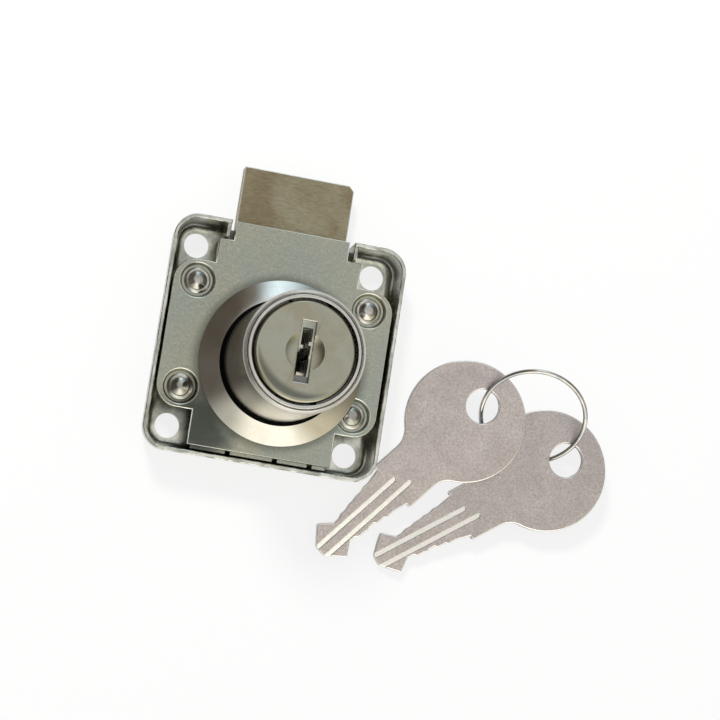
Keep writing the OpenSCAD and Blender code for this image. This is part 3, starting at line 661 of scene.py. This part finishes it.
class LOCK_OT_rivets(bpy.types.Operator):
    """Grow the domed rivets that hold the cover"""
    bl_idname = "lock.rivets"
    bl_label = "Rivets"

    def execute(self, context):
        shapes = context.scene.lock_shapes
        low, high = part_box("case_rivets")
        rivets = grown("rivets", rivet_tree(FINISHES["rivet"]), {
            "Centre": ((low.x + high.x) / 2, (low.y + high.y) / 2, 0.0),
            "Across": high.x - low.x - SOLID_DOME, "Along": high.y - low.y - SOLID_DOME,
            "Dome radius": shapes.rivet_dome / 2, "Dome height": DOME_HEIGHT, "Seat": high.z - DOME_HEIGHT,
            "Flange radius": shapes.rivet_flange / 2, "Flange height": FLANGE_SHARE * DOME_HEIGHT,
            "Spacer top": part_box("cover_plate")[0].z})
        finished(rivets, "case", "rivet_steel", "case_rivets")
        return {"FINISHED"}


class LOCK_OT_bolt(bpy.types.Operator):
    """Dress the sliding bolt"""
    bl_idname = "lock.bolt"
    bl_label = "Bolt"

    def execute(self, context):
        bar = dressed("bolt", "bolt_bar", context.scene.lock_shapes.bolt_edge, FINISHES["bolt"],
                      FINISHES["cut_edge"])
        finished(bar, "bolt", "bolt_steel", "bolt")
        return {"FINISHED"}


class LOCK_OT_barrel(bpy.types.Operator):
    """Dress the barrel, and turn the trim ring round its foot"""
    bl_idname = "lock.barrel"
    bl_label = "Barrel and trim ring"

    def execute(self, context):
        shapes = context.scene.lock_shapes
        tube = dressed("barrel", "barrel_tube", shapes.barrel_edge, FINISHES["chrome"], FINISHES["chrome"],
                       above=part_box("barrel")[1].z - FRONT_REACH)
        finished(tube, "case", "chrome", "barrel")
        ring = turned_piece("trim_ring_crown", trim_outline(shapes), shapes.facets, FINISHES["trim"])
        finished(ring, "trim_ring", "chrome", "trim_ring")
        return {"FINISHED"}


# Gap between the trim ring and the barrel
TRIM_GAP = 0.6 * MM
CROWN_STEPS = 28


def trim_outline(shapes):
    """Section of the trim ring: a crowned sheet from its upright outer edge to its inner lip."""
    low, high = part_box("trim_ring")
    outer = (high.x - low.x) / 2
    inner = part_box("barrel")[1].x + TRIM_GAP
    crown, sheet = shapes.trim_crown, shapes.trim_sheet
    edge = Vector((outer, low.z + shapes.trim_upright))
    lip = Vector((inner, high.z))
    chord = lip - edge
    across = Vector((-chord.y, chord.x)).normalized()
    centre = (edge + lip) / 2 + across * math.sqrt(crown ** 2 - (chord.length / 2) ** 2)

    def arc(radius, start, end):
        for i in range(CROWN_STEPS + 1):
            r = start + (end - start) * i / CROWN_STEPS
            yield r, centre.y + math.sqrt(radius ** 2 - (r - centre.x) ** 2)

    foot = centre.x + math.sqrt((crown - sheet) ** 2 - (low.z - centre.y) ** 2)
    return [(outer, low.z), *arc(crown, outer, inner), *arc(crown - sheet, inner, foot)]


# Steps of the cap's dish and rolled rim, and the angle from which its edges stay sharp
DISH_STEPS = 16
RIM_STEPS = 14
CAP_CREASE = math.radians(9)


def cap_outline(shapes):
    """Section of the cap: its dish, flat face, rolled rim and skirt."""
    low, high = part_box("plug_cap")
    outer, top = (high.x - low.x) / 2, high.z
    half, depth, roll, sheet = shapes.dish_width / 2, shapes.dish_depth, shapes.cap_round, shapes.cap_sheet
    bowl = (half ** 2 + depth ** 2) / (2 * depth)
    dish = [(r, top - depth + bowl - math.sqrt(bowl ** 2 - r ** 2))
            for r in (half * i / DISH_STEPS for i in range(DISH_STEPS + 1))]
    rim = [(outer - roll + roll * math.sin(a), top - roll + roll * math.cos(a))
           for a in (math.pi / 2 * i / RIM_STEPS for i in range(RIM_STEPS + 1))]
    return [*dish, *rim, (outer, low.z), (outer - sheet, low.z), (outer - sheet, top - sheet), (0.0, top - sheet)]


def slotted(cap, shapes):
    """Cuts the key slot through the cap and rounds its edges, none of them above the cap's face."""
    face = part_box("plug_cap")[1].z
    shape = bmesh.new()
    block = Matrix.Diagonal((shapes.slot_width, shapes.slot_height, 4 * shapes.cap_sheet, 1.0))
    bmesh.ops.create_cube(shape, size=1.0, matrix=Matrix.Translation((0.0, 0.0, face)) @ block)
    mesh = bpy.data.meshes.new("slot_block")
    shape.to_mesh(mesh)
    shape.free()
    mesh.materials.append(FINISHES["cap"])
    cutter = new_object("slot_block", mesh)
    # The slot's rounded edges take the brighter trim chrome as a painted highlight
    cap.data.materials.append(FINISHES["trim"])
    cut = cap.modifiers.new("Slot", "BOOLEAN")
    cut.object = cutter
    cut.solver = "EXACT"
    rounding = cap.modifiers.new("Rounding", "BEVEL")
    rounding.width = shapes.cap_edge
    rounding.segments = 2
    rounding.angle_limit = math.radians(50)
    rounding.material = 1
    rounding.use_clamp_overlap = False
    made_plain(cap)
    bpy.data.objects.remove(cutter)
    for point in cap.data.vertices:
        point.co.z = min(point.co.z, face)
    cap.data.set_sharp_from_angle(angle=CAP_CREASE)
    return cap


class LOCK_OT_plug(bpy.types.Operator):
    """Dress the plug with its cap, clip and wafers, and coil its springs"""
    bl_idname = "lock.plug"
    bl_label = "Plug"

    def execute(self, context):
        shapes = context.scene.lock_shapes
        cap = turned_piece("plug_cap_face", cap_outline(shapes), shapes.facets, FINISHES["cap"], CAP_CREASE)
        finished(slotted(cap, shapes), "plug", "satin_cap", "plug_cap")
        for node, finish in (("plug", "zinc"), ("plug_clip", "spring"), *((n, "brass") for n in WAFERS)):
            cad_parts[node].data.materials.clear()
            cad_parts[node].data.materials.append(FINISHES[finish])
        low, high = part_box(SPRINGS[-1])
        wire = shapes.coil_wire / 2
        pitch = middle(SPRINGS[0]).z - middle(SPRINGS[1]).z
        coils = grown("wafer_springs", coil_tree(FINISHES["spring"]), {
            "Start": ((low.x + high.x) / 2, low.y + wire, (low.z + high.z) / 2), "Pitch": pitch,
            "Count": len(SPRINGS), "Turns": float(shapes.turns), "Coil radius": (high.x - low.x) / 2 - wire,
            "Length": high.y - low.y - 2 * wire, "Wire radius": wire})
        finished(coils, "plug", "spring_steel", *SPRINGS)
        return {"FINISHED"}


# Lean, heading and open gap of the key ring, as in the solids
RING_TILT, RING_HEADING, RING_GAP = (math.radians(degrees) for degrees in (38.0, -13.9, 4.0))


class LOCK_OT_keys(bpy.types.Operator):
    """Dress the two keys and bend their ring"""
    bl_idname = "lock.keys"
    bl_label = "Keys and ring"

    def execute(self, context):
        shapes = context.scene.lock_shapes
        for node in ("key_a", "key_b"):
            key = dressed(node, f"{node}_blank", shapes.key_edge, FINISHES["nickel"], FINISHES["key_edge"],
                          FINISHES["key_wall"])
            finished(key, node, "nickel", node)
        low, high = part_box("key_ring")
        wire = shapes.ring_wire
        radius = (high.z - low.z - wire) / 2 / math.sin(RING_TILT)
        ring = grown("key_ring_wire", wire_ring_tree(FINISHES["wire"]),
                     {"Radius": radius, "Wire radius": wire / 2, "Gap": RING_GAP})
        turn = Matrix.Rotation(RING_HEADING, 4, "Z") @ Matrix.Rotation(RING_TILT, 4, "X")
        ring.data.transform(Matrix.Translation((low + high) / 2) @ turn)
        finished(ring, "key_ring", "ring_wire", "key_ring")
        return {"FINISHED"}


def shown_white(tree, shade, white=1.0):
    """Mixes a shader with a share of plain white for what the camera, reflections and glass see."""
    rays = add_node(tree, "ShaderNodeLightPath")
    either = add_node(tree, "ShaderNodeMath", {0: rays.outputs["Is Camera Ray"], 1: rays.outputs["Is Glossy Ray"]},
                      operation="MAXIMUM")
    any_ray = add_node(tree, "ShaderNodeMath", {0: either.outputs["Value"],
                                                1: rays.outputs["Is Transmission Ray"]}, operation="MAXIMUM")
    share = add_node(tree, "ShaderNodeMath", {0: any_ray.outputs["Value"], 1: white}, operation="MULTIPLY")
    glow = add_node(tree, "ShaderNodeEmission" if shade.node.bl_idname != "ShaderNodeBackground"
                    else "ShaderNodeBackground", {"Color": (1.0, 1.0, 1.0, 1.0), "Strength": 1.0})
    return add_node(tree, "ShaderNodeMixShader", {0: share.outputs["Value"], 1: shade, 2: glow.outputs[0]})


# Place, aim, width and colour of the softbox
LAMP_AT = (-0.22, 0.4, 0.45)
LAMP_AIM = (0.0, 0.0, 0.01)
LAMP_WIDTH = 0.14
LAMP_COLOUR = (1.0, 0.98, 0.95)


def add_lamp(name, at, aim, size, power, colour):
    """A round area lamp that aims at a point."""
    data = bpy.data.lights.new(name, "AREA")
    data.shape = "DISK"
    data.size = size
    data.energy = power
    data.color = colour
    lamp = new_object(name, data)
    lamp.location = at
    lamp.rotation_euler = (Vector(aim) - Vector(at)).to_track_quat("-Z", "Y").to_euler()
    return lamp


# Colours of the tent's panels
DARK = (0.09, 0.08, 0.07)
BROWN = (0.07, 0.06, 0.05)
WARM = (1.0, 0.97, 0.88)
AMBER = (1.0, 0.92, 0.7)
COOL = (0.75, 0.9, 1.0)
# Heading in degrees, colour and level of each panel
PANELS = ((-180, DARK, 1.0), (180, DARK, 1.0), (-150, DARK, 1.0), (-120, WARM, 0.4), (-90, WARM, 1.0),
          (-60, WARM, 1.0), (-35, AMBER, 0.5), (0, AMBER, 0.15), (40, DARK, 1.2), (65, COOL, 0.25), (88, COOL, 1.0),
          (106, DARK, 1.5), (120, BROWN, 1.0), (150, BROWN, 1.0))
# The tent's foot as a share of its radius, the way its top opens, where its panels fade, and their strength
TENT_FOOT = 0.02
TOP_WAY = (0.2, 0.25, 0.95)
TOP_FADE = (0.96, 0.86)
FOOT_FADE = (0.06, 0.25)
TENT_GLOW = 2.0


def add_tent(radius):
    """A tent round the lock that only the metal mirrors: dark, cool and warm panels, open above and at the foot."""
    shape = bmesh.new()
    bmesh.ops.create_uvsphere(shape, u_segments=64, v_segments=32, radius=radius)
    low = [v for v in shape.verts if v.co.z < TENT_FOOT * radius]
    bmesh.ops.delete(shape, geom=low, context="VERTS")
    mesh = bpy.data.meshes.new("tent")
    shape.to_mesh(mesh)
    shape.free()
    tent = new_object("tent", mesh)
    material = bpy.data.materials.new("tent_panels")
    material.use_nodes = True
    tree = material.node_tree
    tree.nodes.clear()
    spot = add_node(tree, "ShaderNodeTexCoord").outputs["Object"]
    way = add_node(tree, "ShaderNodeVectorMath", {0: spot}, operation="NORMALIZE").outputs["Vector"]
    parts = add_node(tree, "ShaderNodeSeparateXYZ", {"Vector": way})
    turn = add_node(tree, "ShaderNodeMath", {0: parts.outputs["Y"], 1: parts.outputs["X"]}, operation="ARCTAN2")
    share = add_node(tree, "ShaderNodeMath", {0: turn.outputs["Value"], 1: 0.5 / math.pi, 2: 0.5},
                     operation="MULTIPLY_ADD")
    panels = add_node(tree, "ShaderNodeValToRGB", {"Fac": share.outputs["Value"]})
    ramp = panels.color_ramp
    ramp.interpolation = "EASE"
    for i, (degrees, colour, level) in enumerate(PANELS):
        at = degrees / 360 + 0.5
        stop = ramp.elements[i] if i < 2 else ramp.elements.new(at)
        stop.position = at
        stop.color = (*(level * c for c in colour), 1.0)
    open_top = add_node(tree, "ShaderNodeVectorMath", {0: way, 1: Vector(TOP_WAY).normalized()},
                        operation="DOT_PRODUCT")
    shut = add_node(tree, "ShaderNodeMapRange", {"Value": open_top.outputs["Value"], "From Min": TOP_FADE[0],
                                                 "From Max": TOP_FADE[1]}, interpolation_type="SMOOTHSTEP")
    rise = add_node(tree, "ShaderNodeMapRange", {"Value": parts.outputs["Z"], "From Min": FOOT_FADE[0],
                                                 "From Max": FOOT_FADE[1]}, interpolation_type="SMOOTHSTEP")
    cover = add_node(tree, "ShaderNodeMath", {0: shut.outputs["Result"], 1: rise.outputs["Result"]},
                     operation="MULTIPLY")
    glow = add_node(tree, "ShaderNodeEmission", {"Color": panels.outputs["Color"], "Strength": TENT_GLOW})
    clear = add_node(tree, "ShaderNodeBsdfTransparent")
    mixed = add_node(tree, "ShaderNodeMixShader", {0: cover.outputs["Value"], 1: clear.outputs["BSDF"],
                                                   2: glow.outputs["Emission"]})
    end = add_node(tree, "ShaderNodeOutputMaterial", {"Surface": mixed.outputs["Shader"]})
    end.is_active_output = True
    mesh.materials.append(material)
    tent.visible_camera = tent.visible_diffuse = tent.visible_shadow = False


# How far the floor lies below the lock, and how much of it shows as plain white
FLOOR_DROP = 0.05 * MM
FLOOR_WHITE = 0.8


class LOCK_OT_stage(bpy.types.Operator):
    """Set the floor, the light and the camera"""
    bl_idname = "lock.stage"
    bl_label = "Stage"

    def execute(self, context):
        scene = context.scene
        stage = scene.lock_stage
        scene.view_settings.view_transform = "Standard"
        self.add_camera(scene, stage)
        self.add_floor(stage)
        world = bpy.data.worlds.new("studio")
        world.use_nodes = True
        tree = world.node_tree
        soft = tree.nodes["Background"]
        soft.inputs["Color"].default_value = (1.0, 1.0, 1.0, 1.0)
        soft.inputs["Strength"].default_value = stage.sky
        seen = shown_white(tree, soft.outputs["Background"])
        tree.links.new(seen.outputs["Shader"], tree.nodes["World Output"].inputs["Surface"])
        scene.world = world
        lamp = add_lamp("softbox", LAMP_AT, LAMP_AIM, LAMP_WIDTH, stage.lamp, LAMP_COLOUR)
        lamp.visible_glossy = False
        add_tent(stage.tent)
        return {"FINISHED"}

    def add_camera(self, scene, stage):
        """The camera at the photograph's viewing angle."""
        data = bpy.data.cameras.new("camera")
        data.sensor_width = 36.0
        data.lens = stage.lens
        data.clip_start = 0.01
        camera = new_object("camera", data)
        back = -Vector(stage.camera_look).normalized()
        right = Vector(stage.camera_up).cross(back).normalized()
        camera.matrix_world = Matrix.Translation(stage.camera_at) @ Matrix(
            (right, back.cross(right), back)).transposed().to_4x4()
        scene.camera = camera

    def add_floor(self, stage):
        """A pale floor that keeps the lock's shadow."""
        shape = bmesh.new()
        bmesh.ops.create_grid(shape, x_segments=1, y_segments=1, size=stage.floor / 2,
                              matrix=Matrix.Translation((0.0, 0.0, -FLOOR_DROP)))
        mesh = bpy.data.meshes.new("floor")
        shape.to_mesh(mesh)
        shape.free()
        material = bpy.data.materials.new("pale_floor")
        material.use_nodes = True
        tree = material.node_tree
        matt = tree.nodes["Principled BSDF"]
        matt.inputs["Base Color"].default_value = (0.9, 0.9, 0.9, 1.0)
        matt.inputs["Roughness"].default_value = 0.9
        seen = shown_white(tree, matt.outputs["BSDF"], FLOOR_WHITE)
        tree.links.new(seen.outputs["Shader"], tree.nodes["Material Output"].inputs["Surface"])
        mesh.materials.append(material)
        new_object("floor", mesh)


class LOCK_PT_panel(bpy.types.Panel):
    """Sizes, colours and pieces of the lock"""
    bl_idname = "LOCK_PT_panel"
    bl_label = "Furniture lock"
    bl_space_type = "VIEW_3D"
    bl_region_type = "UI"
    bl_category = "Lock"

    def draw(self, context):
        for piece in PIECES:
            self.layout.operator(piece.bl_idname)
        for settings in (context.scene.lock_finishes, context.scene.lock_shapes, context.scene.lock_stage):
            box = self.layout.box()
            for key in settings.__annotations__:
                box.prop(settings, key)


PIECES = (LOCK_OT_case, LOCK_OT_rivets, LOCK_OT_bolt, LOCK_OT_barrel, LOCK_OT_plug, LOCK_OT_keys, LOCK_OT_stage)
SETTINGS = {"lock_finishes": LockFinishes, "lock_shapes": LockShapes, "lock_stage": LockStage}


def register():
    for group in SETTINGS.values():
        bpy.utils.register_class(group)
    for key, group in SETTINGS.items():
        setattr(bpy.types.Scene, key, bpy.props.PointerProperty(type=group))
    for item in (*PIECES, LOCK_PT_panel):
        bpy.utils.register_class(item)


def unregister():
    for item in (LOCK_PT_panel, *reversed(PIECES)):
        bpy.utils.unregister_class(item)
    for key, group in SETTINGS.items():
        delattr(bpy.types.Scene, key)
        bpy.utils.unregister_class(group)


def main():
    register()
    make_finishes(bpy.context.scene.lock_finishes)
    bpy.ops.lock.case()
    bpy.ops.lock.rivets()
    bpy.ops.lock.bolt()
    bpy.ops.lock.barrel()
    bpy.ops.lock.plug()
    bpy.ops.lock.keys()
    bpy.ops.lock.stage()


if __name__ == "__main__":
    main()
